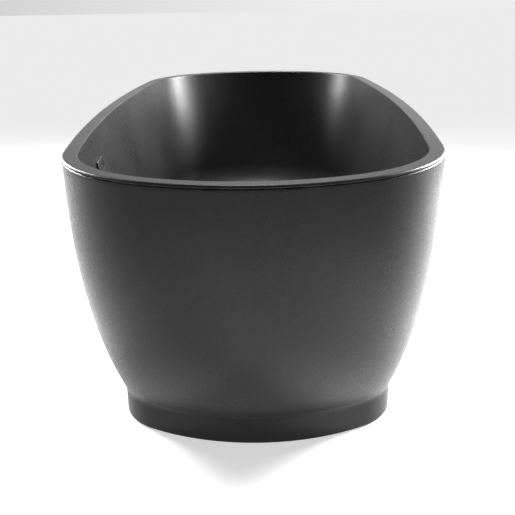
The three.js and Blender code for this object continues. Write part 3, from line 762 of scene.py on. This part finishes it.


# ---- plug, feet and nuts -------------------------------------------------------------------------
def profile_piece(node, profile, sides=96):
    """A turned piece in a node's place, from [radius, height above the node's lowest point]."""
    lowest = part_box(node)[0].z
    return lathe(node + "_fine", [(radius, lowest + z) for radius, z in profile], axis_of(node), sides)


def rounded_profile(corners, radius, count=4):
    """The profile with each inner corner of the path replaced by a small arc."""
    points = [corners[0]]
    for before, here, after in zip(corners, corners[1:], corners[2:]):
        corner = Vector(here)
        back, ahead = Vector(before) - corner, Vector(after) - corner
        reach = min(radius, back.length * LONGEST_ROUND, ahead.length * LONGEST_ROUND)
        start = corner + back.normalized() * reach
        stop = corner + ahead.normalized() * reach
        for share in steps(0, 1, count):
            points.append(tuple(start.lerp(corner, share).lerp(corner.lerp(stop, share), share)))
    points.append(corners[-1])
    return points


def threaded_profile(radius, low, high, pitch, depth):
    """A stud's outline from its foot to its top, with turned grooves for its thread."""
    profile = [(0, low), (radius - depth, low), (radius - depth / 2, low + pitch / 2)]
    turns = int((high - low) / pitch) - 1
    for i in range(1, turns):
        z = low + i * pitch
        profile += [(radius - depth, z), (radius, z + pitch * 0.4), (radius, z + pitch * 0.6)]
    return profile + [(radius - depth, high - pitch / 2), (radius - depth * 1.5, high), (0, high)]


def height_of(node):
    low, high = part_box(node)
    return high.z - low.z


def plug_cap():
    """A low dome with a turned-down rim."""
    top = height_of("plug_cap")
    corners = [
        (0, 0),
        (CAP_RADIUS, 0),
        (CAP_RADIUS, 0.0022),
        (0.0296, 0.0036),
        (0.019, top - 0.0002),
        (0, top),
    ]
    finish_piece(profile_piece("plug_cap", rounded_profile(corners, CAP_ROUND)), "plug_cap")


def plug_seal():
    """A ring with a sloping lip."""
    top = height_of("plug_seal")
    inner, lip = 0.006, 0.0225
    corners = [(inner, top), (inner, 0), (0.019, 0), (lip, top - 0.0007), (lip, top), (inner, top)]
    finish_piece(profile_piece("plug_seal", rounded_profile(corners, 0.0006)[:-1]), "plug_seal")


def plug_stem():
    """A rod with a narrower tip and one groove."""
    top = height_of("plug_stem")
    groove = [
        (STEM_RADIUS, 0.012),
        (STEM_GROOVE_RADIUS, 0.0126),
        (STEM_GROOVE_RADIUS, 0.0144),
        (STEM_RADIUS, 0.015),
    ]
    profile = [(0, 0), (0.003, 0), (STEM_RADIUS, 0.001), *groove, (STEM_RADIUS, top), (0, top)]
    finish_piece(profile_piece("plug_stem", profile), "plug_stem")


def foot_stud(node):
    low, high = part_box(node)
    profile = threaded_profile(STUD_RADIUS, low.z, high.z, THREAD_PITCH, THREAD_DEPTH)
    finish_piece(lathe(node + "_fine", profile, axis_of(node), sides=48), node)


def foot_pad(node):
    """A disc that rises to a neck, with a socket for the stud."""
    top = height_of(node)
    corners = [
        (0, 0),
        (PAD_RADIUS, 0),
        (PAD_RADIUS, 0.005),
        (0.021, 0.009),
        (PAD_NECK_RADIUS, 0.011),
        (PAD_NECK_RADIUS, top),
        (PAD_SOCKET_RADIUS, top),
        (PAD_SOCKET_RADIUS, 0.006),
        (0, 0.006),
    ]
    finish_piece(profile_piece(node, rounded_profile(corners, PAD_ROUND), sides=80), node)


def lock_nut(node):
    """A hexagon nut on a foot's stud, with its corners turned off top and bottom."""
    low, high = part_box(node)
    centre = axis_of(node)
    chamfer = NUT_CHAMFER * NUT_RADIUS / 2
    levels = [
        (low.z, NUT_TURNED_RADIUS),
        (low.z + chamfer, 1),
        (high.z - chamfer, 1),
        (high.z, NUT_TURNED_RADIUS),
    ]
    points = NUT_SIDES * POINTS_PER_SIDE
    half_side = math.pi / NUT_SIDES
    rings = []
    for z, share in levels:
        ring = []
        for i in range(points):
            angle = 2 * math.pi * i / points
            flat = math.cos(half_side) / math.cos(angle % (2 * half_side) - half_side)
            reach = NUT_RADIUS * min(flat, share)
            ring.append(Vector((centre[0] + reach * math.cos(angle), centre[1] + reach * math.sin(angle), z)))
        rings.append(ring)
    nut = closed_shell(node + "_fine", rings, caps=True)
    cut(nut, rod("bore", STUD_HOLE_RADIUS, low.z - BORE_MARGIN, high.z + BORE_MARGIN, centre))
    finish_piece(nut, node)


plug_cap()
plug_seal()
plug_stem()
for number in FEET:
    foot_stud(f"foot_stud_{number}")
    foot_pad(f"foot_pad_{number}")
for number in FEET:
    lock_nut(f"foot_lock_nut_{number}")


# ---- waste, frame and pipes: the CAD shapes with their edges rounded -----------------------------
def rounded_copy(node, width):
    """A copy of a CAD node whose sharp edges are rounded by the given width."""
    cad_object = frame["nodes"][node]
    mesh = cad_object.data.copy()
    mesh.transform(cad_object.matrix_world)
    mesh.materials.clear()
    piece = bpy.data.objects.new(node + "_fine", mesh)
    bpy.context.scene.collection.objects.link(piece)
    body = bmesh.new()
    body.from_mesh(mesh)
    bmesh.ops.remove_doubles(body, verts=body.verts, dist=WELD)
    bmesh.ops.dissolve_limit(body, angle_limit=math.radians(1), verts=body.verts, edges=body.edges)
    body.to_mesh(mesh)
    body.free()
    modifier = piece.modifiers.new("rounded", "BEVEL")
    modifier.width = width
    modifier.segments = 3
    modifier.limit_method = "ANGLE"
    modifier.angle_limit = math.radians(BEVEL_ABOVE)
    apply_modifiers(piece)
    shade(piece)
    finish_piece(piece, node)


for node, width in ROUNDED_EDGES.items():
    rounded_copy(node, width)


# ---- studio -------------------------------------------------------------------------------------
def add_camera():
    """Looks along the tub from beyond its near end, a little down on it."""
    forward = Vector((
        -math.cos(CAMERA_PITCH) * math.cos(CAMERA_YAW),
        -math.cos(CAMERA_PITCH) * math.sin(CAMERA_YAW),
        -math.sin(CAMERA_PITCH),
    ))
    level = forward.cross(Vector((0, 0, 1))).normalized()
    upright = level.cross(forward)
    right = level * math.cos(CAMERA_ROLL) + upright * math.sin(CAMERA_ROLL)
    up = right.cross(forward)
    data = bpy.data.cameras.new("camera")
    data.lens = LENS
    data.sensor_width = SENSOR
    camera = bpy.data.objects.new("camera", data)
    turned = Matrix((right, up, -forward)).transposed().to_4x4()
    camera.matrix_world = Matrix.Translation(CAMERA_PLACE) @ turned
    bpy.context.scene.collection.objects.link(camera)
    bpy.context.scene.camera = camera


def softbox(name, place, size, power, target=(0, 0, 0.4), spread_angle=90):
    """A rectangular lamp turned to its target."""
    data = bpy.data.lights.new(name, "AREA")
    data.shape = "RECTANGLE"
    data.size, data.size_y = size
    data.energy = power
    data.spread = math.radians(spread_angle)
    light = bpy.data.objects.new(name, data)
    light.location = place
    light.rotation_euler = (Vector(target) - Vector(place)).to_track_quat("-Z", "Y").to_euler()
    bpy.context.scene.collection.objects.link(light)


def floor_pool(name, place, radius, power, height=1.6):
    """A soft spot straight down on the floor, that the skirt's front reflects."""
    data = bpy.data.lights.new(name, "SPOT")
    data.energy = power
    data.spot_size = 2 * math.atan(radius / height)
    data.spot_blend = 1
    data.shadow_soft_size = 0.1
    light = bpy.data.objects.new(name, data)
    light.location = (*place, height)
    bpy.context.scene.collection.objects.link(light)


def add_floor():
    """A pale floor with a glow of its own, so that it stays near white."""
    reach = FLOOR_HALF_WIDTH
    corners = [(-reach, -reach, 0), (reach, -reach, 0), (reach, reach, 0), (-reach, reach, 0)]
    floor = mesh_object("floor", corners, [(0, 1, 2, 3)], smooth=False)
    pale, _, shader = new_material("pale_floor", 0.9)
    shader.inputs["Base Color"].default_value = (0.8, 0.8, 0.8, 1)
    shader.inputs["Specular IOR Level"].default_value = 0
    shader.inputs["Emission Color"].default_value = (1, 1, 1, 1)
    shader.inputs["Emission Strength"].default_value = FLOOR_GLOW
    floor.data.materials.append(pale)


def add_world():
    """A dim room that grows brighter beyond the tub's far end, most of all on the right."""
    world = bpy.data.worlds.new("studio")
    world.use_nodes = True
    tree = world.node_tree
    place = tree.nodes.new("ShaderNodeTexCoord")
    behind = tree.nodes.new("ShaderNodeVectorMath")
    behind.operation = "DOT_PRODUCT"
    behind.inputs[1].default_value = ROOM_BRIGHTEST
    tree.links.new(place.outputs["Generated"], behind.inputs[0])
    strength = spread(
        tree, behind.outputs["Value"], low=ROOM_FRONT, high=ROOM_BACK, spread_from=0.0, spread_to=0.9
    )
    background = tree.nodes["Background"]
    background.inputs["Color"].default_value = (1, 1, 1, 1)
    tree.links.new(strength, background.inputs["Strength"])
    bpy.context.scene.world = world


add_camera()
add_floor()
add_world()
softbox("left_softbox", place=(-1.7, -2.8, 1.5), size=(1.0, 1.5), power=78)
softbox(
    "overhead_softbox", place=(-1.1, 0, 2.6), size=(0.6, 0.9), power=20,
    target=(-0.2, 0, 0.3), spread_angle=50,
)
softbox("right_softbox", place=(-1.1, 2.6, 1.35), size=(1.0, 1.5), power=140)
floor_pool("right_pool", place=(1.22, 0.6), radius=0.5, power=85)
bpy.context.scene.view_settings.view_transform = "Standard"
